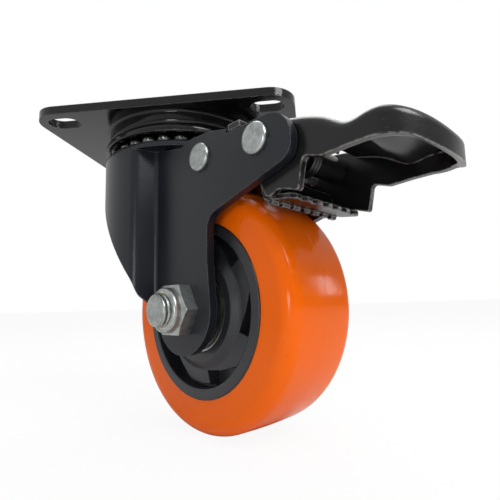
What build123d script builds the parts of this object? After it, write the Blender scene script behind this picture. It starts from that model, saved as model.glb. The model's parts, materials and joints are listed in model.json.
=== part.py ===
from build123d import *
import math
import os

# Swivel castor with a rigid plate mount, a polyurethane wheel on two ball bearings and a
# pressed pedal that brakes the wheel and locks the swivel.  Millimetres, +Z up.  The origin
# is on the swivel axis in the plate's top face, and the plate's long side runs along X.
# The fork and all it carries are drawn in the fork's own frame, X towards the pedal and Y
# along the axle, and turned about the swivel axis by FORK_HEADING as they are written.

# ---- top plate ----
PLATE_LENGTH = 89.2
PLATE_WIDTH = 61.8
PLATE_SHEET = 2.8
PLATE_CORNER = 8.4
SLOT_SPACING_X = 71.2
SLOT_SPACING_Y = 48.2
SLOT_LENGTH = 11.0
SLOT_WIDTH = 7.0
DISH_RADIUS = 28.0
DISH_DEPTH = 8.0

# ---- swivel bearing ----
RACE_SHEET = 1.5
RACE_RADIUS = 29.3
RACE_BORE = 17.0
RACE_LIP_DROP = 1.2
UPPER_BALL = 5.0
UPPER_PITCH = 24.3
UPPER_COUNT = 28
LOWER_BALL = 4.0
LOWER_PITCH = 13.0
LOWER_COUNT = 18
GROOVE_DEPTH = 0.65
BALL_CLEARANCE = 0.05
LOWER_RACE_RADIUS = 16.4
LOWER_RACE_THICKNESS = 2.5
KINGPIN_RADIUS = 6.0
KINGPIN_HEAD_RADIUS = 11.0
KINGPIN_HEAD_HEIGHT = 3.2
KINGPIN_TAIL_RADIUS = 8.5
KINGPIN_TAIL_HEIGHT = 2.8
LOCK_RING_RADIUS = 19.5
LOCK_RING_THICKNESS = 2.0
LOCK_NOTCH_COUNT = 24
LOCK_NOTCH_WIDTH = 2.7
LOCK_NOTCH_DEPTH = 2.6

# ---- wheel ----
WHEEL_RADIUS = 38.1
TREAD_WIDTH = 28.3
TREAD_SHOULDER = 4.3
TREAD_CROWN = 0.6
RIM_RADIUS = 26.9
RIM_WALL = 3.3
HUB_WIDTH = 29.5
HUB_BOSS_RADIUS = 15.6
WEB_DISH = 1.6
WEB_GROOVE = 2.6
POCKET_COUNT = 6
POCKET_DEPTH = 6.0
POCKET_SWEEP = 40.0
POCKET_START = -81.0
KEY_RIB_RADIUS = 29.6
KEY_RIB_WIDTH = 11.0

# ---- wheel bearings, axle and nut ----
BEARING_OD = 26.0
BEARING_BORE = 10.0
BEARING_WIDTH = 8.0
BEARING_RECESS = 0.25
BEARING_BALL = 4.76
BEARING_BALLS = 7
SEAL_THICKNESS = 0.6
AXLE_RADIUS = 4.76
TREAD_TOP_DROP = 30.3
TRAIL = 26.7
BUSH_RADIUS = 6.6
HEX_FLATS = 14.3
BOLT_HEAD_HEIGHT = 6.0
NUT_HEX_HEIGHT = 4.3
NUT_HEIGHT = 6.8
NUT_COLLAR_RADIUS = 6.5
INSERT_RADIUS = 5.6
INSERT_LENGTH = 2.2
BOLT_OVERHANG = 2.3

# ---- fork ----
FORK_HEADING = -37.2
FORK_SHEET = 2.5
SKIRT_RADIUS = 29.4
LEG_OUTSIDE = 20.3
LEG_END_RADIUS = 13.5
JOGGLE_X = 12.6
JOGGLE_SLOPE = 1.8
JOGGLE_CREST = 3.6
JOGGLE_ROOT = 1.6
CROWN_BORE = 8.6
EAR_REACH = 11.5
EAR_TOP = 5.2
EAR_BOTTOM = 7.2

# ---- pedal, brake and swivel lock ----
PIVOT_X = 59.3
PIVOT_DROP = 26.1
SPACER_X = 36.4
SPACER_DROP = 24.4
RIVET_SHANK = 3.5
RIVET_HEAD = 4.25
RIVET_HEAD_HEIGHT = 1.3
SLEEVE_RADIUS = 4.0
PEDAL_SHEET = 1.8
PEDAL_SIDE_GAP = 0.4
PEDAL_NOSE_X = 100.7
PEDAL_NOSE_LENGTH = 11.3
PEDAL_BEND = 2.4
PEDAL_STEP = 1.0  # what the pedal's and the blade's outlines are counted in
WEB_START = 7.4
LUG_SETBACK = 8.3
LUG_LENGTH = 4.6
LUG_HEIGHT = 1.8
LUG_EAR_GAP = 0.4
LUG_REST = 0.35
SHOE_SHEET = 1.6
SHOE_TEETH = 7
SHOE_TOOTH_WIDTH = 2.6
SHOE_TOUCH_ANGLE = 46.0
PEDAL_TRAVEL = 17.0
LEVER_RATIO = 0.6
LEVER_HALF_WIDTH = 5.0
LEVER_TOOTH_WIDTH = 1.9
LEVER_HEIGHT = 3.8
LEVER_RING_GAP = 1.4
DRIVE_PIN_RADIUS = 1.5
DRIVE_PIN_DROP = 1.2
SPRING_WIRE = 1.1
SPRING_COIL_RADIUS = 4.9
SPRING_TURNS = 3
SPRING_PEDAL_LEG_ANGLE = 58.0
SPRING_LEVER_LEG_ANGLE = 90.0
SPRING_PEDAL_LEG = 8.5
SPRING_LEVER_LEG = 8.6
RUNNING_FIT = 0.05
TOUCH_GAP = 0.15

# ---- heights and places worked out from the sizes above ----
RACE_FACE_Z = -DISH_DEPTH - RACE_SHEET
UPPER_BALL_Z = RACE_FACE_Z + GROOVE_DEPTH - UPPER_BALL / 2
CROWN_TOP = UPPER_BALL_Z - UPPER_BALL / 2 + GROOVE_DEPTH
CROWN_BOTTOM = CROWN_TOP - FORK_SHEET
LOWER_BALL_Z = CROWN_BOTTOM + GROOVE_DEPTH - LOWER_BALL / 2
LOWER_RACE_TOP = LOWER_BALL_Z - LOWER_BALL / 2 + GROOVE_DEPTH
LOWER_RACE_BOTTOM = LOWER_RACE_TOP - LOWER_RACE_THICKNESS
LOCK_RING_BOTTOM = LOWER_RACE_BOTTOM - LOCK_RING_THICKNESS
UPPER_TRACK = (UPPER_PITCH, UPPER_BALL_Z, UPPER_BALL)
LOWER_TRACK = (LOWER_PITCH, LOWER_BALL_Z, LOWER_BALL)
LEG_INSIDE = LEG_OUTSIDE - FORK_SHEET
AXLE_DROP = WHEEL_RADIUS + TREAD_TOP_DROP
AXLE_Z = -AXLE_DROP
PIVOT_Z = -PIVOT_DROP
SPACER_Z = -SPACER_DROP
PEDAL_OUTSIDE = LEG_INSIDE - PEDAL_SIDE_GAP
PEDAL_INSIDE = PEDAL_OUTSIDE - PEDAL_SHEET
LUG_X = PIVOT_X - LUG_SETBACK
LUG_BOTTOM = PIVOT_Z + EAR_TOP + LUG_EAR_GAP
PIN_X = PIVOT_X - (PIVOT_X - SPACER_X) * LEVER_RATIO / (1 + LEVER_RATIO)
PIN_Z = PIVOT_Z - DRIVE_PIN_DROP
LEVER_UNDERSIDE = PIN_Z + DRIVE_PIN_RADIUS + TOUCH_GAP
LEVER_TOP = LEVER_UNDERSIDE + LEVER_HEIGHT
LEVER_FRONT = LOCK_RING_RADIUS + LEVER_RING_GAP
TOUCH_RADIUS = WHEEL_RADIUS + TOUCH_GAP
TOUCH_X = TRAIL + TOUCH_RADIUS * math.cos(math.radians(SHOE_TOUCH_ANGLE))
TOUCH_Z = AXLE_Z + TOUCH_RADIUS * math.sin(math.radians(SHOE_TOUCH_ANGLE))
BEARING_FACE = HUB_WIDTH / 2 - BEARING_RECESS
BEARING_BACK = BEARING_FACE - BEARING_WIDTH
BEARING_PITCH = (BEARING_OD + BEARING_BORE) / 4
OUTER_RING_INSIDE = BEARING_PITCH + 2.3
INNER_RING_OUTSIDE = BEARING_PITCH - 2.1


def outline(points, radii):
    """Closed sketch of straight runs with the corners rounded by radii."""
    return make_face(FilletPolyline(*points, radius=radii, close=True))


def turned(points, radii, tracks=()):
    """Solid of revolution about Z from (radius, height) points, less any ball tracks."""
    profile = outline(points, radii)
    for pitch, height, ball in tracks:
        profile -= Pos(pitch, height) * Circle(ball / 2 + BALL_CLEARANCE)
    return revolve(Plane.XZ * profile, Axis.Z)


def turned_on_axle(points, radii, tracks=()):
    """Solid of revolution about the axle from (radius, place along the axle) points."""
    profile = outline(points, radii)
    for pitch, place, ball in tracks:
        profile -= Pos(pitch, place) * Circle(ball / 2 + BALL_CLEARANCE)
    return Pos(TRAIL, 0, AXLE_Z) * revolve(profile, Axis.Y)


def across(sketch, y_low, y_high):
    """Prism of a side-view sketch, (x, z), between two places along Y."""
    start = Plane(origin=(0, y_high, 0), x_dir=(1, 0, 0), z_dir=(0, -1, 0))
    return extrude(start * sketch, y_high - y_low, dir=(0, -1, 0))


def cross_rod(radius, x, z, y_low, y_high):
    """Round rod along Y."""
    return across(Pos(x, z) * Circle(radius), y_low, y_high)


def mirrored(shape):
    """The shape and its mirror image on the other side of the wheel."""
    return [shape, mirror(shape, Plane.XZ)]


def ball_ring(diameter, pitch, count, z):
    """Separate balls spread round Z."""
    places = PolarLocations(pitch, count)
    return [Pos(0, 0, z) * place * Sphere(diameter / 2) for place in places]


# ---- top plate: one pressing with a drawn dish and four slots ----
def make_top_plate():
    blank = RectangleRounded(PLATE_LENGTH, PLATE_WIDTH, PLATE_CORNER)
    slots = GridLocations(SLOT_SPACING_X, SLOT_SPACING_Y, 2, 2)
    blank -= slots * SlotOverall(SLOT_LENGTH, SLOT_WIDTH)
    joint_radius = DISH_RADIUS + 2
    blank -= Circle(joint_radius)
    plate = extrude(blank, -PLATE_SHEET)
    inside = DISH_RADIUS - PLATE_SHEET
    floor = -DISH_DEPTH + PLATE_SHEET
    dish = turned(
        [(joint_radius, 0), (inside, 0), (inside, floor), (KINGPIN_RADIUS, floor),
         (KINGPIN_RADIUS, -DISH_DEPTH), (DISH_RADIUS, -DISH_DEPTH),
         (DISH_RADIUS, -PLATE_SHEET), (joint_radius, -PLATE_SHEET)],
        [0, 2.2, 1.0, 0, 0, 2.0, 1.0, 0],
    )
    return plate + dish


def make_upper_race():
    lip = RACE_FACE_Z - RACE_LIP_DROP
    return turned(
        [(RACE_BORE, -DISH_DEPTH), (RACE_RADIUS, -DISH_DEPTH), (RACE_RADIUS, lip),
         (RACE_RADIUS - RACE_SHEET, lip), (RACE_RADIUS - RACE_SHEET, RACE_FACE_Z),
         (RACE_BORE, RACE_FACE_Z)],
        [0, 1.4, 0.4, 0.2, 0.3, 0],
        tracks=[UPPER_TRACK],
    )


def make_kingpin():
    seat = -DISH_DEPTH + PLATE_SHEET
    head = seat + KINGPIN_HEAD_HEIGHT
    tail = LOCK_RING_BOTTOM - KINGPIN_TAIL_HEIGHT
    return turned(
        [(0, head), (KINGPIN_HEAD_RADIUS, head), (KINGPIN_HEAD_RADIUS, seat),
         (KINGPIN_RADIUS, seat), (KINGPIN_RADIUS, LOCK_RING_BOTTOM),
         (KINGPIN_TAIL_RADIUS, LOCK_RING_BOTTOM), (KINGPIN_TAIL_RADIUS, tail), (0, tail)],
        [0, 1.6, 0, 0, 0, 0.4, 1.6, 0],
    )


def make_lower_race():
    return turned(
        [(KINGPIN_RADIUS, LOWER_RACE_TOP), (LOWER_RACE_RADIUS, LOWER_RACE_TOP),
         (LOWER_RACE_RADIUS, LOWER_RACE_BOTTOM), (KINGPIN_RADIUS, LOWER_RACE_BOTTOM)],
        [0, 0.6, 0.6, 0],
        tracks=[LOWER_TRACK],
    )


def make_lock_ring():
    notch_middle = LOCK_RING_RADIUS - LOCK_NOTCH_DEPTH / 2 + 0.5
    notch = Rectangle(LOCK_NOTCH_DEPTH + 1, LOCK_NOTCH_WIDTH)
    blank = Circle(LOCK_RING_RADIUS) - Circle(KINGPIN_RADIUS)
    blank -= PolarLocations(notch_middle, LOCK_NOTCH_COUNT) * notch
    return Pos(0, 0, LOCK_RING_BOTTOM) * extrude(blank, LOCK_RING_THICKNESS)


# ---- fork: one pressing, a ball crown whose skirt is joggled in to two flat legs ----
def fork_plan(inset):
    """Plan of the fork's outside, moved inwards by inset."""
    skirt = Circle(SKIRT_RADIUS - inset)
    step_in = LEG_OUTSIDE - inset
    front_x = JOGGLE_X - inset
    step_out = math.sqrt((SKIRT_RADIUS - inset) ** 2 - (front_x - JOGGLE_SLOPE) ** 2)
    rear_x = PIVOT_X + 30
    body = Polygon(
        (-5, -step_out), (front_x - JOGGLE_SLOPE, -step_out), (front_x, -step_in),
        (rear_x, -step_in), (rear_x, step_in), (front_x, step_in),
        (front_x - JOGGLE_SLOPE, step_out), (-5, step_out), align=None,
    )
    keep = Pos(front_x - JOGGLE_SLOPE - 50, 0) * Rectangle(100, 100)
    plan = (skirt & keep) + (body - Pos(-20, 0) * Rectangle(40, 100))
    crest = [v for v in plan.vertices() if abs(v.X - front_x + JOGGLE_SLOPE) < 0.01]
    plan = fillet(crest, JOGGLE_CREST - inset)
    return fillet([v for v in plan.vertices() if abs(v.X - front_x) < 0.01],
                  JOGGLE_ROOT + inset)


def fork_side():
    """Side view of the legs: crown edge, ear round the pivot, and the end at the axle."""
    axle_rear = TRAIL + LEG_END_RADIUS
    axle_front = TRAIL - LEG_END_RADIUS
    ear_rear = PIVOT_X + EAR_REACH
    ear_top = PIVOT_Z + EAR_TOP
    ear_low = PIVOT_Z - EAR_BOTTOM
    relief = CROWN_BOTTOM - 0.8
    front = -SKIRT_RADIUS - 2
    points = [
        (front, CROWN_TOP), (16.2, CROWN_TOP), (16.2, relief), (27.2, relief - 1.9),
        (29.8, relief - 0.8), (SPACER_X + 4, relief - 1.2), (PIVOT_X - 6, ear_top - 0.1),
        (PIVOT_X - 1, ear_top), (ear_rear, ear_top), (ear_rear, ear_low),
        (axle_rear - 1.1, SPACER_Z - 18.2), (axle_rear - 1.2, AXLE_Z + 14),
        (axle_rear, AXLE_Z), (axle_front, AXLE_Z - 2), (axle_front - 1.9, AXLE_Z + 4.2),
        (axle_front - 3.4, AXLE_Z + 9.5), (-12.4, -29.5), (-21, -22.3), (front, -20.6),
    ]
    radii = [0, 0, 0.8, 0.8, 1.5, 12, 2, 2, 8, 5, 5, 20, 0, 0, 8, 10, 7, 12, 0]
    return outline(points, radii) + Pos(TRAIL, AXLE_Z) * Circle(LEG_END_RADIUS)


def make_fork():
    depth = AXLE_DROP + LEG_END_RADIUS + 5
    outside = extrude(fork_plan(0), -depth)
    inside = extrude(fork_plan(FORK_SHEET), -depth)
    walls = (outside - inside) & across(fork_side(), -SKIRT_RADIUS - 1, SKIRT_RADIUS + 1)
    crown = turned(
        [(CROWN_BORE, CROWN_TOP), (SKIRT_RADIUS, CROWN_TOP), (SKIRT_RADIUS, CROWN_BOTTOM),
         (CROWN_BORE, CROWN_BOTTOM)],
        [0.5, 2.0, 0, 0.3],
        tracks=[UPPER_TRACK, LOWER_TRACK],
    )
    above = Pos(0, 0, CROWN_BOTTOM) * Cylinder(
        SKIRT_RADIUS + 5, 50, align=(Align.CENTER, Align.CENTER, Align.MIN))
    fork = (walls - above) + crown
    reach = LEG_OUTSIDE + 1
    fork -= cross_rod(AXLE_RADIUS + 0.1, TRAIL, AXLE_Z, -reach, reach)
    fork -= cross_rod(RIVET_SHANK, PIVOT_X, PIVOT_Z, -reach, reach)
    fork -= cross_rod(RIVET_SHANK, SPACER_X, SPACER_Z, -reach, reach)
    stop = Pos(LUG_X, LUG_BOTTOM - LUG_REST + 5) * Rectangle(LUG_LENGTH + 1.8, 10)
    return fork - across(stop, -reach, reach)


# ---- wheel: moulded core with a bonded tread, on two sealed ball bearings ----
def make_tyre():
    side = TREAD_WIDTH / 2
    shoulder = WHEEL_RADIUS - TREAD_CROWN
    rib = KEY_RIB_WIDTH / 2
    return turned_on_axle(
        [(RIM_RADIUS, -side), (shoulder, -side), (WHEEL_RADIUS, 0), (shoulder, side),
         (RIM_RADIUS, side), (RIM_RADIUS, rib), (KEY_RIB_RADIUS, rib),
         (KEY_RIB_RADIUS, -rib), (RIM_RADIUS, -rib)],
        [0, TREAD_SHOULDER, 200, TREAD_SHOULDER, 0, 0, 0, 0, 0],
    )


def make_wheel_core():
    rim = HUB_WIDTH / 2
    rim_inside = RIM_RADIUS - RIM_WALL
    rib = KEY_RIB_WIDTH / 2
    bearing = BEARING_OD / 2
    dish = rim - WEB_DISH
    face = [(bearing, rim), (HUB_BOSS_RADIUS, rim), (HUB_BOSS_RADIUS + 2.5, dish),
            (rim_inside - 1.2, dish - 0.4), (rim_inside - 0.9, dish - WEB_GROOVE),
            (rim_inside, dish - WEB_GROOVE), (rim_inside, rim), (RIM_RADIUS, rim)]
    back = [(radius, -place) for radius, place in reversed(face)]
    key = [(RIM_RADIUS, rib), (KEY_RIB_RADIUS, rib), (KEY_RIB_RADIUS, -rib), (RIM_RADIUS, -rib)]
    shoulder = bearing - 1.6
    bore = [(bearing, -BEARING_BACK), (shoulder, -BEARING_BACK), (shoulder, BEARING_BACK),
            (bearing, BEARING_BACK)]
    radii = [0, 0.8, 2, 0.3, 0.3, 0.3, 0.4, 0.5]
    core = turned_on_axle(
        face + key + back + bore,
        radii + [0, 0, 0, 0] + list(reversed(radii)) + [0, 0, 0, 0],
    )
    return core - swirl_pockets(1) - swirl_pockets(-1)


def swirl_pockets(side):
    """Cutters for the deep wedges that stand round the web like turbine steps."""
    outer = RIM_RADIUS - RIM_WALL
    blunt = outer - 5.2
    wedge = Polygon(
        (blunt, 0), (outer, 0),
        *[(outer * math.cos(a), outer * math.sin(a)) for a in pocket_angles()],
        (blunt * math.cos(0.30) + 1.3, blunt * math.sin(0.30) + 1.0),
        align=None,
    )
    rim = HUB_WIDTH / 2
    ring = []
    for number in range(POCKET_COUNT):
        turn = POCKET_START + number * 360 / POCKET_COUNT
        cutter = extrude(Rot(0, 0, turn) * wedge, POCKET_DEPTH + 1)
        ring.append(cutter)
    upright = Compound(ring)
    facing = Rot(90, 0, 0) * Pos(0, 0, rim - POCKET_DEPTH) * upright
    if side > 0:
        facing = mirror(facing, Plane.XZ)
    return Pos(TRAIL, 0, AXLE_Z) * facing


def pocket_angles():
    sweep = math.radians(POCKET_SWEEP)
    return [sweep * step / 4 for step in range(1, 5)]


def bearing_ring(inside, outside, chamfer_in, chamfer_out):
    """Ring of the bearing on the nut's side, with its half of the ball track."""
    middle = (BEARING_FACE + BEARING_BACK) / 2
    return turned_on_axle(
        [(inside, -BEARING_FACE), (outside, -BEARING_FACE), (outside, -BEARING_BACK),
         (inside, -BEARING_BACK)],
        [chamfer_in, chamfer_out, chamfer_out, chamfer_in],
        tracks=[(BEARING_PITCH, -middle, BEARING_BALL)],
    )


def make_bearing_balls():
    middle = (BEARING_FACE + BEARING_BACK) / 2
    balls = []
    for place in PolarLocations(BEARING_PITCH, BEARING_BALLS):
        ball = Rot(90, 0, 0) * place * Sphere(BEARING_BALL / 2)
        balls += mirrored(Pos(TRAIL, -middle, AXLE_Z) * ball)
    return balls


def make_seal():
    return turned_on_axle(
        [(INNER_RING_OUTSIDE + 0.15, -BEARING_FACE + 0.3),
         (OUTER_RING_INSIDE, -BEARING_FACE + 0.3),
         (OUTER_RING_INSIDE, -BEARING_FACE + 0.3 + SEAL_THICKNESS),
         (INNER_RING_OUTSIDE + 0.15, -BEARING_FACE + 0.3 + SEAL_THICKNESS)],
        [0, 0, 0, 0],
    )


def make_bush():
    bore = AXLE_RADIUS + 0.1
    return turned_on_axle(
        [(bore, -LEG_INSIDE), (BUSH_RADIUS, -LEG_INSIDE), (BUSH_RADIUS, -BEARING_FACE),
         (bore, -BEARING_FACE)],
        [0, 0.3, 0.3, 0],
    )


def make_axle_sleeve():
    bore = AXLE_RADIUS + 0.1
    return turned_on_axle(
        [(bore, -BEARING_BACK), (INNER_RING_OUTSIDE - 0.4, -BEARING_BACK),
         (INNER_RING_OUTSIDE - 0.4, BEARING_BACK), (bore, BEARING_BACK)],
        [0, 0, 0, 0],
    )


def hex_prism(y_low, y_high):
    """Hexagon across the axle, two of its flats level, with its outer corners turned off."""
    hexagon = Pos(TRAIL, AXLE_Z) * RegularPolygon(HEX_FLATS / 2, 6, major_radius=False)
    corner = HEX_FLATS / 2 / math.cos(math.radians(30)) + 0.05
    low = corner - 1.5 if y_low < 0 else corner + 1
    high = corner - 1.5 if y_high > 0 else corner + 1
    ease = 0.9
    turning = turned_on_axle(
        [(0, y_low), (low, y_low), (corner + 1, y_low + ease), (corner + 1, y_high - ease),
         (high, y_high), (0, y_high)],
        [0, 0, 0, 0, 0, 0],
    )
    return across(hexagon, y_low, y_high) & turning


def make_axle_bolt():
    tip = -LEG_OUTSIDE - NUT_HEIGHT - BOLT_OVERHANG
    shank = turned_on_axle(
        [(0, tip), (AXLE_RADIUS, tip), (AXLE_RADIUS, LEG_OUTSIDE), (0, LEG_OUTSIDE)],
        [0, 0.9, 0, 0],
    )
    return shank + hex_prism(LEG_OUTSIDE, LEG_OUTSIDE + BOLT_HEAD_HEIGHT)


def make_lock_nut():
    face = -LEG_OUTSIDE
    end = face - NUT_HEIGHT
    hexagon = hex_prism(face - NUT_HEX_HEIGHT, face)
    collar = turned_on_axle(
        [(0, face - NUT_HEX_HEIGHT + 1), (NUT_COLLAR_RADIUS, face - NUT_HEX_HEIGHT + 1),
         (NUT_COLLAR_RADIUS, end), (0, end)],
        [0, 0, 1.1, 0],
    )
    nut = hexagon + collar
    nut -= cross_rod(AXLE_RADIUS, TRAIL, AXLE_Z, end - 1, face + 1)
    return nut - cross_rod(INSERT_RADIUS, TRAIL, AXLE_Z, end - 1, end + INSERT_LENGTH)


def make_nut_insert():
    end = -LEG_OUTSIDE - NUT_HEIGHT
    ring = cross_rod(INSERT_RADIUS, TRAIL, AXLE_Z, end + 0.4, end + INSERT_LENGTH)
    return ring - cross_rod(AXLE_RADIUS, TRAIL, AXLE_Z, end - 1, end + INSERT_LENGTH + 1)


# ---- rivets and spacers that tie the legs together ----
def make_rivet(x, z):
    top = LEG_OUTSIDE + RIVET_HEAD_HEIGHT
    half = [(0, top), (RIVET_HEAD, top), (RIVET_HEAD, LEG_OUTSIDE), (RIVET_SHANK, LEG_OUTSIDE)]
    other = [(radius, -place) for radius, place in reversed(half)]
    rivet = turned_on_axle(half + other, [0, 0.9, 0, 0, 0, 0, 0.9, 0])
    return Pos(x - TRAIL, 0, z - AXLE_Z) * rivet


def make_tube(x, z, reach):
    tube = cross_rod(SLEEVE_RADIUS, x, z, -reach, reach)
    return tube - cross_rod(RIVET_SHANK, x, z, -reach, reach)


# ---- pedal: one pressing, a channel with a rounded nose and a turned-down rim ----
def pedal_plan(inset):
    half = PEDAL_OUTSIDE - inset
    nose = PEDAL_NOSE_LENGTH - inset
    straight = PEDAL_NOSE_X - PEDAL_NOSE_LENGTH
    front = LUG_X - 4.3 * PEDAL_STEP
    middle = (front + straight) / 2
    channel = Pos(middle, 0) * Rectangle(straight - front, 2 * half)
    return channel + Pos(straight, 0) * Ellipse(nose, half)


def stepped(x, z, steps):
    """Side-view points counted in pedal steps from (x, z)."""
    return [(x + along * PEDAL_STEP, z + up * PEDAL_STEP) for along, up in steps]


def pedal_top(drop):
    """Side view of all that lies under the pedal's top, lowered by drop."""
    height = PIVOT_Z - drop
    crest = Spline(
        *stepped(LUG_X, height, [(-6, 5.7)]),
        *stepped(PIVOT_X, height, [(1, 5.3), (11.7, 3.2), (18.6, 0.5), (24.6, -2.4),
                                   (29.0, -1.7), (34.2, -2.2)]),
        *stepped(PEDAL_NOSE_X, height, [(2, -10.2)]),
    )
    (front,) = stepped(LUG_X, PIVOT_Z, [(-6, -30)])
    (rear,) = stepped(PEDAL_NOSE_X, PIVOT_Z, [(2, -30)])
    return make_face([crest, Polyline(crest @ 1, rear, front, crest @ 0)])


def pedal_side():
    """Side view of the channel's walls, from the front ear to the nose."""
    front, front_low = stepped(LUG_X, PIVOT_Z, [(-4.3, 8), (-4.3, -4.5)])
    nose = stepped(PEDAL_NOSE_X, PIVOT_Z, [(1, 8), (1, -12.6)])
    lower_edge = stepped(PIVOT_X, PIVOT_Z, [
        (36.5, -9.0), (29.5, -8.3), (24.0, -8.4), (17.4, -8.8), (12.4, -7.2), (10.8, -15.2),
        (6.2, -13.8), (3.9, -13.6), (1.8, -14.8), (0.3, -14.4), (-1.6, -10.5), (-8.0, -6.0)])
    radii = [0, 0, 0, 5, 3, 3, 2, 1.2, 0.8, 0.8, 0.5, 0.5, 1, 2, 2.5, 3]
    return outline([front, *nose, *lower_edge, front_low],
                   [radius * PEDAL_STEP for radius in radii])


def make_brake_pedal():
    reach = PEDAL_OUTSIDE + 1
    depth = PIVOT_DROP + 25 * PEDAL_STEP
    body = extrude(pedal_plan(0), -depth) & across(pedal_top(0), -reach, reach)
    crest = body.edges().filter_by(lambda edge: edge.center().Z > PIVOT_Z - 12 * PEDAL_STEP)
    crest = crest.filter_by(
        lambda edge: edge.length > 5 * PEDAL_STEP and edge.center().X > LUG_X)
    body = fillet(crest, PEDAL_BEND)
    hollow = extrude(pedal_plan(PEDAL_SHEET), -depth)
    hollow &= across(pedal_top(PEDAL_SHEET), -reach, reach)
    window_length = WEB_START + (PIVOT_X - LUG_X) + 6 * PEDAL_STEP
    window = Pos(PIVOT_X + WEB_START - window_length / 2, 0) * Rectangle(
        window_length, 2 * PEDAL_INSIDE)
    pedal = body - hollow - extrude(window, -depth)
    pedal &= across(pedal_side(), -reach, reach)
    lug = Pos(LUG_X, LUG_BOTTOM + LUG_HEIGHT / 2) * Rectangle(LUG_LENGTH, LUG_HEIGHT)
    lug_solid = across(lug, -LEG_OUTSIDE + 0.2, -PEDAL_INSIDE)
    neck = Pos(LUG_X, LUG_BOTTOM - 0.5) * Rectangle(LUG_LENGTH, 2 * LUG_HEIGHT)
    neck_solid = across(neck, -PEDAL_OUTSIDE, -PEDAL_INSIDE)
    for piece in mirrored(lug_solid) + mirrored(neck_solid):
        pedal += piece
    pedal -= cross_rod(RIVET_SHANK + RUNNING_FIT, PIVOT_X, PIVOT_Z, -reach, reach)
    return pedal - cross_rod(DRIVE_PIN_RADIUS, PIN_X, PIN_Z, -reach, reach)


# ---- brake shoe: a toothed blade across the pedal that bites the tread ----
def turned_about_pivot(x, z, angle):
    """Place of a point of the locked pedal once the pedal is let go by angle."""
    c = math.cos(math.radians(angle))
    s = math.sin(math.radians(angle))
    dx = x - PIVOT_X
    dz = z - PIVOT_Z
    return PIVOT_X + dx * c - dz * s, PIVOT_Z + dx * s + dz * c


BLADE_X, BLADE_Z = turned_about_pivot(TOUCH_X, TOUCH_Z, PEDAL_TRAVEL)


def make_brake_shoe():
    t = SHOE_SHEET
    back = stepped(BLADE_X, BLADE_Z, [
        (-2.6, 8.6), (-1.0, 8.9), (0.9, 2.4), (9.4, 1.2), (9.4, -0.2)])
    tip = stepped(BLADE_X + t, BLADE_Z, [(0, 0.9), (-0.4, 0)])
    front = stepped(BLADE_X, BLADE_Z, [(0, 0), (-0.6, 1.6)])
    radii = [0.3, 0.3, 0.6, 0.3, 0.3, 0.2, 0.2, 0.2, 0.5]
    strip = outline([*back, *tip, *front], [radius * PEDAL_STEP for radius in radii])
    shoe = across(strip, -PEDAL_INSIDE, PEDAL_INSIDE)
    pitch = 2 * PEDAL_INSIDE / SHOE_TEETH
    gap = pitch - SHOE_TOOTH_WIDTH
    ((heel_x, heel_z),) = stepped(BLADE_X, BLADE_Z, [(9.4, 0.5)])
    tooth_gap = Box(2 * t + 1.5 * PEDAL_STEP, gap, 2.4 * PEDAL_STEP)
    heel_gap = Rot(0, 0, 45) * Box(gap, gap, 3 * PEDAL_STEP)
    for number in range(SHOE_TEETH + 1):
        middle = -PEDAL_INSIDE + number * pitch
        shoe -= Pos(BLADE_X, middle, BLADE_Z) * tooth_gap
        shoe -= Pos(heel_x, middle, heel_z) * heel_gap
    return shoe


# ---- swivel lock: a rocking lever that the pedal's pin lifts, and its return spring ----
def make_lock_lever():
    hub = SLEEVE_RADIUS + 2.2
    roof = CROWN_BOTTOM - 0.7
    arm = outline(
        [(LEVER_FRONT, roof), (SPACER_X - 6, roof), (SPACER_X + 6, LEVER_TOP),
         (PIN_X + 0.9, LEVER_TOP), (PIN_X + 0.9, LEVER_UNDERSIDE),
         (SPACER_X + 5, LEVER_UNDERSIDE), (SPACER_X, SPACER_Z - hub + 0.5),
         (SPACER_X - 6, SPACER_Z + 1), (LEVER_FRONT, roof - 2.4)],
        [0.3, 3, 2, 0.8, 0.6, 1.5, 2.5, 2, 0.3],
    )
    hub_disc = Pos(SPACER_X, SPACER_Z) * Circle(hub)
    lever = across(arm + hub_disc, -LEVER_HALF_WIDTH, LEVER_HALF_WIDTH)
    tooth_bottom = LOWER_RACE_BOTTOM + 0.6
    tooth_back = LOCK_RING_RADIUS - LOCK_NOTCH_DEPTH + 1.0
    tooth = Polygon(
        (tooth_back, roof), (LEVER_FRONT + 1, roof), (LEVER_FRONT + 1, roof - 2.4),
        (LOCK_RING_RADIUS, tooth_bottom), (tooth_back, tooth_bottom), align=None,
    )
    lever += across(tooth, -LEVER_TOOTH_WIDTH / 2, LEVER_TOOTH_WIDTH / 2)
    bore = SLEEVE_RADIUS + RUNNING_FIT
    return lever - cross_rod(bore, SPACER_X, SPACER_Z, -LEVER_HALF_WIDTH, LEVER_HALF_WIDTH)


def make_return_spring():
    """Torsion spring round the pivot sleeve, one leg on the lever, one under the pedal."""
    part_turn = (SPRING_LEVER_LEG_ANGLE - SPRING_PEDAL_LEG_ANGLE) / 360
    pitch = SPRING_WIRE + 0.15
    height = pitch * (SPRING_TURNS + part_turn)
    coil = Helix(pitch, height, SPRING_COIL_RADIUS)
    wire = Circle(SPRING_WIRE / 2)
    spring = sweep(Plane(coil @ 0, z_dir=coil % 0) * wire, path=coil)
    spring += extrude(Plane(coil @ 0, z_dir=coil % 0) * wire, -SPRING_PEDAL_LEG)
    spring += extrude(Plane(coil @ 1, z_dir=coil % 1) * wire, SPRING_LEVER_LEG)
    centred = Pos(0, 0, -height / 2) * spring
    upright = Rot(90, 0, 0) * Rot(0, 0, SPRING_PEDAL_LEG_ANGLE) * centred
    return Pos(PIVOT_X, 0, PIVOT_Z) * upright


def heading(shape):
    """Turn what is drawn in the fork's frame to its place under the plate."""
    return Rot(0, 0, FORK_HEADING) * shape


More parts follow.
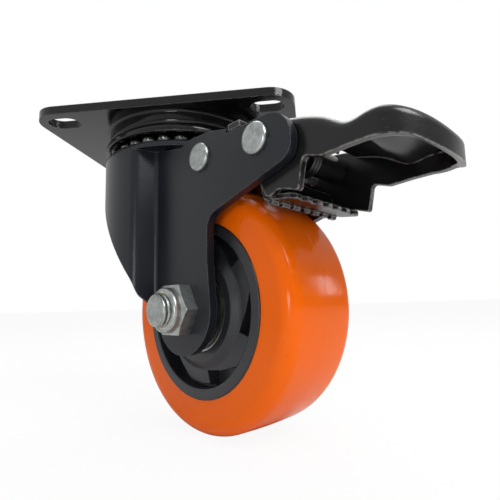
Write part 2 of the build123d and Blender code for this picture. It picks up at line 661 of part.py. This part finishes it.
def save(name, shape, in_fork_frame=True):
    """Write one piece, or a group of like pieces, as parts/name.step."""
    solids = Compound(shape) if isinstance(shape, list) else shape
    placed = heading(solids) if in_fork_frame else solids
    export_step(placed, "parts/" + name + ".step")


save("top_plate", make_top_plate(), in_fork_frame=False)
save("upper_race", make_upper_race(), in_fork_frame=False)
save("kingpin", make_kingpin(), in_fork_frame=False)
save("lower_race", make_lower_race(), in_fork_frame=False)
save("lock_ring", make_lock_ring())
save("upper_balls", ball_ring(UPPER_BALL, UPPER_PITCH, UPPER_COUNT, UPPER_BALL_Z))
save("lower_balls", ball_ring(LOWER_BALL, LOWER_PITCH, LOWER_COUNT, LOWER_BALL_Z))
save("fork", make_fork())
save("tyre", make_tyre())
save("wheel_core", make_wheel_core())
outer_ring = bearing_ring(OUTER_RING_INSIDE, BEARING_OD / 2, 0.2, 0.5)
inner_ring = bearing_ring(BEARING_BORE / 2, INNER_RING_OUTSIDE, 0.3, 0.2)
save("bearing_outer_rings", mirrored(outer_ring))
save("bearing_inner_rings", mirrored(inner_ring))
save("bearing_balls", make_bearing_balls())
save("bearing_seals", mirrored(make_seal()))
save("axle_bushes", mirrored(make_bush()))
save("axle_sleeve", make_axle_sleeve())
save("axle_bolt", make_axle_bolt())
save("lock_nut", make_lock_nut())
save("lock_nut_insert", make_nut_insert())
save("pedal_pivot_rivet", make_rivet(PIVOT_X, PIVOT_Z))
save("pivot_sleeve", make_tube(PIVOT_X, PIVOT_Z, PEDAL_INSIDE - 0.2))
save("spacer_rivet", make_rivet(SPACER_X, SPACER_Z))
save("spacer_tube", make_tube(SPACER_X, SPACER_Z, LEG_INSIDE))
save("brake_pedal", make_brake_pedal())
save("brake_shoe", make_brake_shoe())
save("drive_pin", cross_rod(DRIVE_PIN_RADIUS, PIN_X, PIN_Z, -PEDAL_OUTSIDE, PEDAL_OUTSIDE))
save("swivel_lock_lever", make_lock_lever())
save("return_spring", make_return_spring())
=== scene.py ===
import json
import math

import bpy
from mathutils import Matrix, Vector


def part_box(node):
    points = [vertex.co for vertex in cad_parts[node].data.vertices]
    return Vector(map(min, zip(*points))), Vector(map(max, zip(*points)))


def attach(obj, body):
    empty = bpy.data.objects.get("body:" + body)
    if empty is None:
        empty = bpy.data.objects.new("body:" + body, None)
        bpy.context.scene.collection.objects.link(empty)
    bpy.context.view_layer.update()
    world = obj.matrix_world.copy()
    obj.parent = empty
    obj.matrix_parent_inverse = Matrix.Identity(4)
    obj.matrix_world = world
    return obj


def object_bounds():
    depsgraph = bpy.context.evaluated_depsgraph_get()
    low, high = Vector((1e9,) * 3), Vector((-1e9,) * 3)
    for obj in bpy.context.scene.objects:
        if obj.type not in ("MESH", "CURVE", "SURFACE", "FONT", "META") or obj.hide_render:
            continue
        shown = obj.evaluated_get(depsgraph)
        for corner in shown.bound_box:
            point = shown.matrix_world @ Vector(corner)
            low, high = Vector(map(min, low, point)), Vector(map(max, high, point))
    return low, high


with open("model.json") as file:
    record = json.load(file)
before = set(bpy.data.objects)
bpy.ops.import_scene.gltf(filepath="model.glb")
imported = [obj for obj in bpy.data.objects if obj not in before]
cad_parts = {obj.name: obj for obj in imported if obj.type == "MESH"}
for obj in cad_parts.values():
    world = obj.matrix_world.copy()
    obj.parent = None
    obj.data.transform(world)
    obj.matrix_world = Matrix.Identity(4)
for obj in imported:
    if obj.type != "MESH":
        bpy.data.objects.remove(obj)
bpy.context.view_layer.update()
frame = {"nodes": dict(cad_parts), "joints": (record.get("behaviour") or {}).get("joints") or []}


# Top plate and its upper race: pressed steel sheet, powder coated black after forming.
# The race is spot welded under the dish, so both carry the same semi-gloss coat.
class Value:
    """A node's output.  Sums and masks written with it add their own Math nodes."""

    def __init__(self, nodes, socket):
        self.nodes = nodes
        self.socket = socket

    def _math(self, operation, *terms):
        sockets = dict(enumerate(terms))
        return self.nodes.add("ShaderNodeMath", {"operation": operation}, sockets)

    def __add__(self, other):
        return self._math("ADD", self, other)

    def __radd__(self, other):
        return self._math("ADD", other, self)

    def __sub__(self, other):
        return self._math("SUBTRACT", self, other)

    def __rsub__(self, other):
        return self._math("SUBTRACT", other, self)

    def __mul__(self, other):
        return self._math("MULTIPLY", self, other)

    def __rmul__(self, other):
        return self._math("MULTIPLY", other, self)

    def __truediv__(self, other):
        return self._math("DIVIDE", self, other)

    def absolute(self):
        return self._math("ABSOLUTE", self)

    def least(self, other):
        return self._math("MINIMUM", self, other)

    def most(self, other):
        return self._math("MAXIMUM", self, other)

    def between(self, low, high):
        """0 at low, 1 at high, smooth in between."""
        return self.nodes.add(
            "ShaderNodeMapRange", {"interpolation_type": "SMOOTHSTEP"},
            {"Value": self, "From Min": low, "From Max": high}, "Result")


class Nodes:
    """A node tree.  Every node in it comes from add."""

    def __init__(self, tree):
        self.tree = tree

    def add(self, kind, settings=None, sockets=None, output=0):
        """One output of a new node, once its settings are made and its sockets filled."""
        node = self.tree.nodes.new(kind)
        for name, setting in (settings or {}).items():
            setattr(node, name, setting)
        for key, given in (sockets or {}).items():
            self.fill(node.inputs[key], given)
        return Value(self, node.outputs[output]) if node.outputs else None

    def fill(self, socket, given):
        """Link a value to a socket, or set the socket's own number, vector or colour."""
        if isinstance(given, Value):
            self.tree.links.new(given.socket, socket)
        else:
            socket.default_value = given

    def part(self, which, vector):
        """The X, Y or Z part, 0 to 2, of a vector."""
        return self.add("ShaderNodeSeparateXYZ", sockets={0: vector}, output=which)


class Finish(Nodes):
    """One Principled material, patterned on the object's own coordinates in metres."""

    def __init__(self, name, **constants):
        self.material = bpy.data.materials.new(name)
        self.material.use_nodes = True
        super().__init__(self.material.node_tree)
        self.shader = self.tree.nodes["Principled BSDF"]
        for socket, constant in constants.items():
            self.drive(socket.replace("_", " "), constant)
        self.place = self.add("ShaderNodeTexCoord", output="Object")

    def stretched(self, scale, turn):
        return self.add("ShaderNodeMapping",
                        sockets={"Vector": self.place, "Scale": scale, "Rotation": turn})

    def noise(self, scale, detail=3.0, rough=0.5, place=None):
        return self.add(
            "ShaderNodeTexNoise",
            sockets={"Vector": place or self.place, "Scale": scale, "Detail": detail,
                     "Roughness": rough},
            output="Fac")

    def cells(self, scale):
        return self.add("ShaderNodeTexVoronoi",
                        sockets={"Vector": self.place, "Scale": scale}, output="Distance")

    def rounded(self, radius):
        """The surface's direction, as if its sharp edges had this radius."""
        return self.add("ShaderNodeBevel", {"samples": 4}, {"Radius": radius}, "Normal")

    def facing_up(self):
        return self.part(2, self.add("ShaderNodeNewGeometry", output="Normal"))

    def edges(self, radius):
        """1 along sharp edges and 0 on faces."""
        flat = self.add("ShaderNodeNewGeometry", output="True Normal")
        likeness = self.add("ShaderNodeVectorMath", {"operation": "DOT_PRODUCT"},
                            {0: self.rounded(radius), 1: flat}, "Value")
        return (1.0 - likeness).between(0.02, 0.22)

    def mix(self, low, high, amount):
        """Colour from low to high; either may be a colour or another mix."""
        low, high = (colour if isinstance(colour, Value) else (*colour, 1.0)
                     for colour in (low, high))
        return self.add("ShaderNodeMix", {"data_type": "RGBA"}, {0: amount, 6: low, 7: high}, 2)

    def drive(self, name, given):
        self.fill(self.shader.inputs[name], given)

    def bump(self, height, distance, soften=None):
        """Relief of height times distance, on edges softened to a radius."""
        sockets = {"Strength": 1.0, "Distance": distance, "Height": height}
        if soften:
            sockets["Normal"] = self.rounded(soften)
        self.drive("Normal", self.add("ShaderNodeBump", sockets=sockets, output="Normal"))

    def on(self, *names):
        """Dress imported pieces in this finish."""
        for name in names:
            mesh = frame["nodes"][name].data
            mesh.materials.clear()
            mesh.materials.append(self.material)


def powder_coat(name, base, gloss, wear, scratch_turn, rub=0.0005):
    """Black powder coat: orange peel, haze, fine scratches and edges rubbed paler."""
    coat = Finish(name, Specular_IOR_Level=0.34)
    peel = coat.noise(1500, 2.0)
    haze = coat.noise(60, 4.0, 0.6)
    grain = coat.noise(5200, 1.0)
    hair = coat.stretched(scale=(70, 2600, 2600), turn=scratch_turn)
    patches = coat.noise(140, 3.0).between(0.52, 0.68)
    scratch = coat.noise(1.0, 2.0, 0.5, hair).between(0.66, 0.74) * patches
    dust = coat.facing_up().between(0.35, 1.0) * coat.noise(420, 5.0, 0.7).between(0.38, 0.75)
    rim = coat.edges(rub) * coat.noise(700, 3.0).between(0.25, 0.6)
    hazed = tuple(channel * 1.5 + 0.004 for channel in base)
    bare, chalk, rubbed = (0.07, 0.07, 0.075), (0.15, 0.145, 0.14), (0.34, 0.335, 0.33)
    colour = coat.mix(base, hazed, haze)
    colour = coat.mix(colour, bare, scratch * 0.35)
    colour = coat.mix(colour, chalk, dust * 0.08)
    coat.drive("Base Color", coat.mix(colour, rubbed, rim * wear))
    coat.drive("Roughness", gloss + haze * 0.08 + scratch * 0.15 + dust * 0.25)
    coat.bump(peel * 0.8 + grain * 0.15 - scratch * 0.4, 0.000035, soften=0.0003)
    return coat


powder_coat(
    "plate_coat", base=(0.003, 0.003, 0.0032), gloss=0.08, wear=0.22, scratch_turn=(0, 0, 0.3),
).on("top_plate", "upper_race")


# Kingpin, lower race, notched lock ring and lock lever: steel, coated after riveting.
# They sit deep in the fork, so the coat is duller and oily dust lies on them.
powder_coat(
    "inner_coat", base=(0.004, 0.004, 0.0045), gloss=0.30, wear=0.35, scratch_turn=(0.4, 0, 0),
).on("kingpin", "lower_race", "lock_ring", "swivel_lock_lever")


# Fork: one steel pressing, coated black.  The coat is smooth and fairly glossy on the flat
# legs, with hairline handling scratches that run down them.
powder_coat(
    "fork_coat", base=(0.004, 0.0050, 0.008), gloss=0.27, wear=0.24, scratch_turn=(0, 1.2, 0.65),
).on("fork")


# Brake pedal and brake blade: thin pressed sheet with the same black coat.  The sheared
# lower edges are rubbed and show paler than the faces.
powder_coat(
    "pedal_coat", base=(0.004, 0.004, 0.0045), gloss=0.20, wear=0.95,
    scratch_turn=(0, 0.2, -0.65), rub=0.0008,
).on("brake_pedal", "brake_shoe")


# Tubes over the two rivets: turned steel with a thin glossy black coat, smoother than the
# pressings, that shows a clean streak of light under the pedal's web.
powder_coat(
    "tube_coat", base=(0.006, 0.006, 0.007), gloss=0.10, wear=0.3, scratch_turn=(0, 0, 0.93),
).on("pivot_sleeve", "spacer_tube")


# Balls of the two swivel bearings and the wheel bearings: ground and polished bearing steel,
# coloured much darker than bare steel and nearly black under a thin, patchy film of amber
# grease.
def greased_steel():
    steel = Finish("bearing_steel", Metallic=1.0)
    film = steel.noise(900, 4.0, 0.6)
    grease = film.between(0.45, 0.62)
    polished, amber = (0.18, 0.18, 0.175), (0.03, 0.025, 0.018)
    # Coloured much darker than bare steel, and mixed nearly to black in the patches.
    steel.drive("Base Color", steel.mix(polished, amber, grease * 0.9))
    steel.drive("Roughness", 0.16 + grease * 0.22)
    steel.bump(film, 0.00002)
    return steel


greased_steel().on("upper_balls", "lower_balls", "bearing_balls")


# Wheel bearing rings: ground steel faces, wiped clean outside, with a fine grain and rounded
# rims. The rims are painted near-white as a painted highlight beside the fork's legs, and made
# rougher.
def ground_steel():
    rings = Finish("ground_rings", Metallic=1.0)
    grain = rings.noise(3800, 2.0)
    stain = rings.noise(600, 4.0, 0.6).between(0.5, 0.68)
    rim = rings.edges(0.0006)
    ground, stained, bright = (0.70, 0.70, 0.69), (0.45, 0.43, 0.40), (0.95, 0.95, 0.93)
    face = rings.mix(ground, stained, stain * 0.5)
    # Painted highlight: along the rims the colour is mixed towards near-white.
    rings.drive("Base Color", rings.mix(face, bright, rim))
    rings.drive("Roughness", 0.28 + stain * 0.1 + rim * 0.22)
    rings.bump(grain, 0.00001, soften=0.0004)
    return rings


ground_steel().on("bearing_outer_rings", "bearing_inner_rings")


# Return spring: hard-drawn spring wire, blackened in oil, with a faint grain and patches of
# rust bloom.
def spring_wire():
    wire = Finish("spring_wire", Metallic=1.0)
    bloom = wire.noise(800, 4.0, 0.6)
    grain = wire.noise(5000, 2.0)
    blackened, rust = (0.07, 0.07, 0.072), (0.13, 0.085, 0.05)
    wire.drive("Base Color", wire.mix(blackened, rust, bloom.between(0.55, 0.7)))
    wire.drive("Roughness", 0.32 + bloom * 0.2)
    wire.bump(grain, 0.00002)
    return wire


spring_wire().on("return_spring")


# Fasteners: axle bolt, lock nut, both rivets, bushes, sleeve and drive pin, zinc plated.
# The plating is a slightly green white, blotchy, with a fine grain and dull handling spots.
def zinc_plate():
    zinc = Finish("zinc_plate", Metallic=1.0)
    blotch = zinc.noise(520, 5.0, 0.65)
    fine = zinc.noise(6500, 2.0)
    spots = zinc.cells(900).between(0.22, 0.1) * blotch.between(0.45, 0.6)
    bright, clouded, dull = (0.44, 0.47, 0.46), (0.28, 0.30, 0.29), (0.25, 0.25, 0.23)
    colour = zinc.mix(bright, clouded, blotch.between(0.35, 0.7))
    zinc.drive("Base Color", zinc.mix(colour, dull, spots * 0.6))
    zinc.drive("Roughness", 0.24 + blotch * 0.2 + spots * 0.2)
    zinc.bump(fine * 0.5 + blotch * 0.6, 0.00003, soften=0.0002)
    return zinc


zinc = zinc_plate()
zinc.on("axle_bolt", "lock_nut", "pedal_pivot_rivet", "spacer_rivet", "axle_bushes",
        "axle_sleeve", "drive_pin")


# Thread: the rolled right-hand coarse thread on the bolt's end, where it stands out of the
# lock nut.  It is zinc plated with the bolt, rides with the fork and runs out at both ends.
wheel_axle = next(joint for joint in frame["joints"] if joint["name"] == "wheel_spin")


def rolled_thread():
    """Modifier tree for a thread round Z, and the identifiers of its named inputs."""
    tree = bpy.data.node_groups.new("rolled_thread", "GeometryNodeTree")
    tree.interface.new_socket("Geometry", in_out="OUTPUT", socket_type="NodeSocketGeometry")
    names = ("pitch", "root", "crest", "foot", "crown", "steps", "steps_per_turn", "run_out")
    identifiers = {}
    for name in names:
        socket = tree.interface.new_socket(name, in_out="INPUT", socket_type="NodeSocketFloat")
        identifiers[name] = socket.identifier
    ridge = Nodes(tree)
    pitch, root, crest, foot, crown, steps, steps_per_turn, run_out = (
        ridge.add("NodeGroupInput", output=name) for name in names)
    turns = steps / steps_per_turn
    helix = ridge.add(
        "GeometryNodeCurveSpiral",
        sockets={"Resolution": steps_per_turn, "Rotations": turns, "Start Radius": root,
                 "End Radius": root, "Height": pitch * turns, "Reverse": True})
    helix = ridge.add("GeometryNodeSetCurveNormal", {"mode": "Z_UP"}, {"Curve": helix})
    step = ridge.add("GeometryNodeInputIndex")
    fade = (step / run_out).least((steps - step) / run_out).least(1.0)
    helix = ridge.add(
        "GeometryNodeStoreNamedAttribute", {"data_type": "FLOAT", "domain": "POINT"},
        {"Geometry": helix, "Name": "fade", "Value": fade})
    profile = ridge.add(
        "GeometryNodeCurvePrimitiveQuadrilateral", {"mode": "TRAPEZOID"},
        {"Height": crest - root, "Bottom Width": pitch * foot, "Top Width": pitch * crown,
         "Offset": 0.0})
    lift = ridge.add("ShaderNodeCombineXYZ", sockets={"X": (crest - root) * 0.5})
    profile = ridge.add(
        "GeometryNodeTransform",
        sockets={"Geometry": profile, "Translation": lift, "Rotation": (0, 0, -math.pi / 2)})
    thread = ridge.add(
        "GeometryNodeCurveToMesh",
        sockets={"Curve": helix, "Profile Curve": profile, "Fill Caps": True})
    level = ridge.add("ShaderNodeVectorMath", {"operation": "MULTIPLY"},
                      {0: ridge.add("GeometryNodeInputPosition"), 1: (1, 1, 0)})
    radius = ridge.add("ShaderNodeVectorMath", {"operation": "LENGTH"}, {0: level}, "Value")
    outward = ridge.add("ShaderNodeVectorMath", {"operation": "NORMALIZE"}, {0: level})
    faded = ridge.add("GeometryNodeInputNamedAttribute", {"data_type": "FLOAT"},
                      {"Name": "fade"}, "Attribute")
    sink = ridge.add("ShaderNodeVectorMath", {"operation": "SCALE"},
                     {0: outward, "Scale": (radius - root) * (faded - 1.0)})
    thread = ridge.add("GeometryNodeSetPosition", sockets={"Geometry": thread, "Offset": sink})
    thread = ridge.add("GeometryNodeRemoveAttribute",
                       sockets={"Geometry": thread, "Name": "fade"})
    thread = ridge.add("GeometryNodeSetShadeSmooth",
                       sockets={"Geometry": thread, "Shade Smooth": False})
    thread = ridge.add("GeometryNodeRealizeInstances", sockets={"Geometry": thread})
    thread = ridge.add("GeometryNodeSetMaterial",
                       sockets={"Geometry": thread, "Material": zinc.material})
    ridge.add("NodeGroupOutput", sockets={"Geometry": thread})
    return tree, identifiers


def bolt_thread():
    """The thread from start to end, distances along the axle from the wheel's middle."""
    start, end = -0.0291, -0.0262
    sizes = {"pitch": 0.00127, "root": 0.00465, "crest": 0.00488, "foot": 0.90, "crown": 0.16,
             "steps_per_turn": 48.0, "run_out": 20.0}
    sizes["steps"] = float(int((end - start) / sizes["pitch"] * sizes["steps_per_turn"]))
    thread = bpy.data.objects.new("bolt_thread", bpy.data.meshes.new("thread_blank"))
    bpy.context.collection.objects.link(thread)
    modifier = thread.modifiers.new("rolled_thread", "NODES")
    modifier.node_group, identifiers = rolled_thread()
    for name, size in sizes.items():
        modifier[identifiers[name]] = size
    depsgraph = bpy.context.evaluated_depsgraph_get()
    made = bpy.data.meshes.new_from_object(thread.evaluated_get(depsgraph))
    made.name = "bolt_thread"
    thread.modifiers.remove(modifier)
    thread.data = made
    along, rise = Vector(wheel_axle["axis"]), Vector((0, 0, 1))
    turn = Matrix((rise, along.cross(rise), along)).transposed().to_4x4()
    middle = Vector([(low + high) / 2 for low, high in zip(*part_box("lock_nut"))])
    middle += along * (start - middle.dot(along))
    made.transform(Matrix.Translation(middle) @ turn)
    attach(thread, "fork_body")


bolt_thread()


# Tread: cast orange polyurethane, glossy and slightly translucent, moulded on the core.
# Faint mould parting line on the crown, patches of fine scuffs, specks of dust in the pores.
def polyurethane():
    tread = Finish("polyurethane", Subsurface_Weight=0.12, Subsurface_Scale=0.003,
                   Subsurface_Radius=(1.0, 0.35, 0.08), Specular_IOR_Level=0.15, IOR=1.49)
    cloud = tread.noise(35, 3.0)
    fine = tread.noise(2600, 3.0)
    scuff = tread.noise(240, 5.0, 0.7).between(0.6, 0.72)
    specks = tread.cells(520).between(0.16, 0.08) * cloud.between(0.4, 0.6)
    orange, paler_orange = (0.74, 0.108, 0.001), (0.84, 0.135, 0.002)
    scuffed, dust = (0.55, 0.13, 0.03), (0.30, 0.10, 0.04)
    colour = tread.mix(orange, paler_orange, cloud)
    colour = tread.mix(colour, scuffed, scuff * 0.16)
    tread.drive("Base Color", tread.mix(colour, dust, specks * 0.35))
    tread.drive("Roughness", 0.11 + scuff * 0.22 + cloud * 0.06)
    along_axle = tread.add("ShaderNodeVectorMath", {"operation": "DOT_PRODUCT"},
                           {0: tread.place, 1: wheel_axle["axis"]}, "Value")
    parting = 1.0 - along_axle.absolute().between(0.00005, 0.00022)
    tread.bump(fine * 0.2 + cloud * 0.6 - scuff * 0.3 + parting * 1.2, 0.00004)
    return tread


polyurethane().on("tyre")


# Wheel core: injection-moulded black nylon, satin with a fine moulded grain, faint flow marks
# and a little pale dust.
def moulded_nylon():
    nylon = Finish("moulded_nylon", IOR=1.5)
    grain = nylon.noise(2400, 3.0)
    flow = nylon.noise(90, 4.0, 0.6)
    dust = nylon.noise(500, 5.0, 0.7).between(0.5, 0.75)
    black, worn, pale = (0.009, 0.010, 0.013), (0.019, 0.020, 0.025), (0.12, 0.115, 0.11)
    colour = nylon.mix(black, worn, flow)
    nylon.drive("Base Color", nylon.mix(colour, pale, dust * 0.09))
    nylon.drive("Roughness", 0.29 + flow * 0.12 + dust * 0.2)
    nylon.bump(grain * 0.5 + flow * 0.3, 0.00004, soften=0.0002)
    return nylon


moulded_nylon().on("wheel_core")


# Bearing seals: moulded black rubber discs pressed into the outer rings, matt with a faint
# sheen of grease in patches.
def seal_rubber():
    rubber = Finish("seal_rubber")
    grain = rubber.noise(3000, 3.0)
    film = rubber.noise(300, 3.0).between(0.4, 0.6)
    black, greasy = (0.012, 0.012, 0.012), (0.04, 0.038, 0.035)
    rubber.drive("Base Color", rubber.mix(black, greasy, film))
    rubber.drive("Roughness", 0.62 - film * 0.2)
    rubber.bump(grain, 0.00003)
    return rubber


seal_rubber().on("bearing_seals")


# Lock-nut insert: off-white nylon ring swaged into the nut's collar, slightly greyed by
# handling.
def insert_nylon():
    ring = Finish("insert_nylon", Subsurface_Weight=0.2, Subsurface_Scale=0.001)
    tone = ring.noise(700, 3.0)
    greyed, off_white = (0.55, 0.56, 0.50), (0.70, 0.69, 0.60)
    ring.drive("Base Color", ring.mix(greyed, off_white, tone))
    ring.drive("Roughness", 0.38 + tone * 0.15)
    ring.bump(ring.noise(4000, 2.0), 0.00002)
    return ring


insert_nylon().on("lock_nut_insert")


# Floor: plain pale ground just under the wheel.  The camera sees it almost white, yet it
# keeps the castor's shadow.
floor_size, floor_gap, own_light = 40, 0.0001, 0.92
bpy.ops.mesh.primitive_plane_add(
    size=floor_size, location=(0, 0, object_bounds()[0][2] - floor_gap))
floor = bpy.context.object
floor.name = "floor"
paint = Finish("floor_paint", Roughness=0.9, Base_Color=(0.82, 0.82, 0.82, 1))
to_camera = paint.add("ShaderNodeLightPath", output="Is Camera Ray")
glow = paint.add("ShaderNodeEmission", sockets={"Strength": 1.0})
surface = paint.add(
    "ShaderNodeMixShader",
    sockets={0: to_camera * own_light, 1: Value(paint, paint.shader.outputs[0]), 2: glow})
paint.fill(paint.tree.nodes["Material Output"].inputs["Surface"], surface)
floor.data.materials.append(paint.material)


# Surroundings: a plain white world.  The camera sees it at full strength, polished surfaces
# a little dimmer and least towards the right and front, and it lights the rest at half.
world = bpy.data.worlds.new("studio")
bpy.context.scene.world = world
world.use_nodes = True
sky = Nodes(world.node_tree)
background = sky.tree.nodes["Background"]
background.inputs["Color"].default_value = (1, 1, 1, 1)
direct, glossy, through = (
    sky.add("ShaderNodeLightPath", output=f"Is {ray} Ray")
    for ray in ("Camera", "Glossy", "Transmission"))
heading = sky.add("ShaderNodeTexCoord", output="Generated")
right_front = 0.8 * sky.part(0, heading) - 0.6 * sky.part(1, heading)
above = sky.part(2, heading).between(0.2, 0.6)
reflected = glossy * (0.80 - 0.62 * right_front.between(-0.3, 0.6) * (1.0 - above))
strength = 0.5 * (1.0 - glossy) + (0.5 * direct).most(reflected).most(0.5 * through)
sky.fill(background.inputs["Strength"], strength)


# Lamps: four soft boxes.  The key stands high at the right, the fill in front, the rim far
# out at the right and the last one above the plate.
def softbox(name, place, aim, width, height, watts):
    """A soft rectangular lamp that points at aim."""
    light = bpy.data.lights.new(name, "AREA")
    light.shape = "RECTANGLE"
    light.size = width
    light.size_y = height
    light.energy = watts
    lamp = bpy.data.objects.new(name, light)
    bpy.context.collection.objects.link(lamp)
    lamp.location = place
    direction = Vector(aim) - Vector(place)
    lamp.rotation_euler = direction.to_track_quat("-Z", "Y").to_euler()


softbox("key_light", place=(0.38, -0.34, 0.42), aim=(0.02, -0.02, -0.07),
        width=0.3, height=0.3, watts=3.4)
softbox("fill_light", place=(-0.02, -0.62, -0.04), aim=(0.0, 0.0, -0.05),
        width=0.14, height=0.1, watts=0.6)
softbox("rim_light", place=(0.60, 0.16, 0.06), aim=(0.05, -0.04, -0.06),
        width=0.06, height=0.12, watts=0.2)
softbox("top_light", place=(0.0, 0.25, 0.55), aim=(0.02, -0.02, -0.05),
        width=0.4, height=0.4, watts=1.6)


# Camera: below the plate's level, looking slightly up at the nut's side of the wheel.
shot = bpy.data.cameras.new("camera")
shot.lens = 27.93
shot.sensor_width = 36
shot.shift_x = -0.0352
shot.shift_y = 0.0171
shot.clip_start = 0.01
camera = bpy.data.objects.new("camera", shot)
bpy.context.collection.objects.link(camera)
standpoint = (0.04732, -0.14459, -0.06778)
yaw, pitch, roll = -0.108776, 0.119291, -0.029019
forward = Vector((math.sin(yaw) * math.cos(pitch), math.cos(yaw) * math.cos(pitch),
                  math.sin(pitch)))
level = Vector((math.cos(yaw), -math.sin(yaw), 0))
upright = level.cross(forward)
right = math.cos(roll) * level + math.sin(roll) * upright
up = -math.sin(roll) * level + math.cos(roll) * upright
turn = Matrix((right, up, -forward)).transposed().to_4x4()
camera.matrix_world = Matrix.Translation(standpoint) @ turn
bpy.context.scene.camera = camera
bpy.context.scene.view_settings.view_transform = "Standard"
